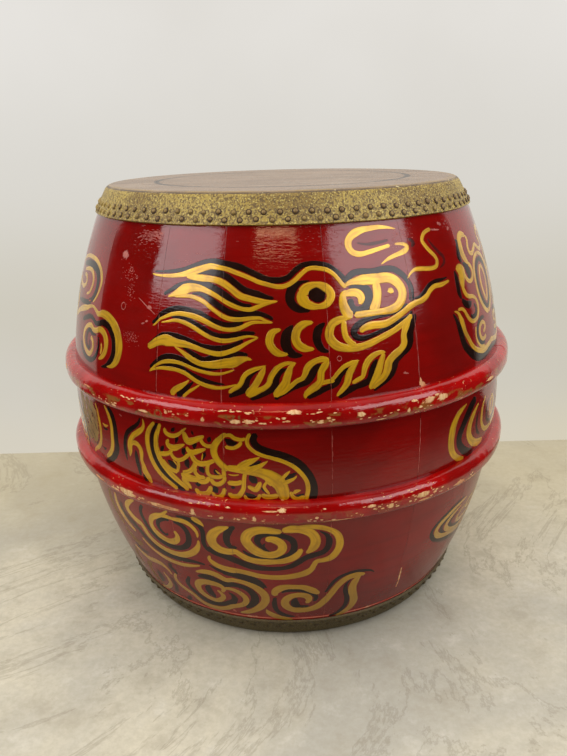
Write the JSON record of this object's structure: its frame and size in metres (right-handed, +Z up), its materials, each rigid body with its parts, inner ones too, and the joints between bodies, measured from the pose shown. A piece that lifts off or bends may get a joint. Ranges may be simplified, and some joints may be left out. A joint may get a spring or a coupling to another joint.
{
  "type": "barrel drum",
  "caption": "Barrel drum with a bulging staved wooden body, two half-round hoops at the belly and a hide head tacked over each end.",
  "frame": {"origin": "middle of the lower head's face, on the surface the drum stands on", "axes": "+Z up along the drum's own axis; -Y towards the viewer of the picture"},
  "size_m": [0.4752, 0.4752, 0.43],
  "materials": {
    "red_lacquer": "glossy worn red lacquer",
    "hoop_lacquer": "glossy red lacquer, chipped",
    "hide": "brown hide, its side painted dull gold",
    "gold_paint": "gloss yellow-gold enamel strokes",
    "black_paint": "gloss black enamel strokes",
    "tack": "domed tack heads, painted dull gold"
  },
  "bodies": {
    "root": {"stave_01": "red_lacquer", "stave_02": "red_lacquer", "stave_03": "red_lacquer", "stave_04": "red_lacquer", "stave_05": "red_lacquer", "stave_06": "red_lacquer", "stave_07": "red_lacquer", "stave_08": "red_lacquer", "stave_09": "red_lacquer", "stave_10": "red_lacquer", "stave_11": "red_lacquer", "stave_12": "red_lacquer", "stave_13": "red_lacquer", "stave_14": "red_lacquer", "stave_15": "red_lacquer", "stave_16": "red_lacquer", "stave_17": "red_lacquer", "stave_18": "red_lacquer", "upper_hoop": "hoop_lacquer", "lower_hoop": "hoop_lacquer", "top_head": "hide", "bottom_head": "hide"}
  },
  "joints": []
}
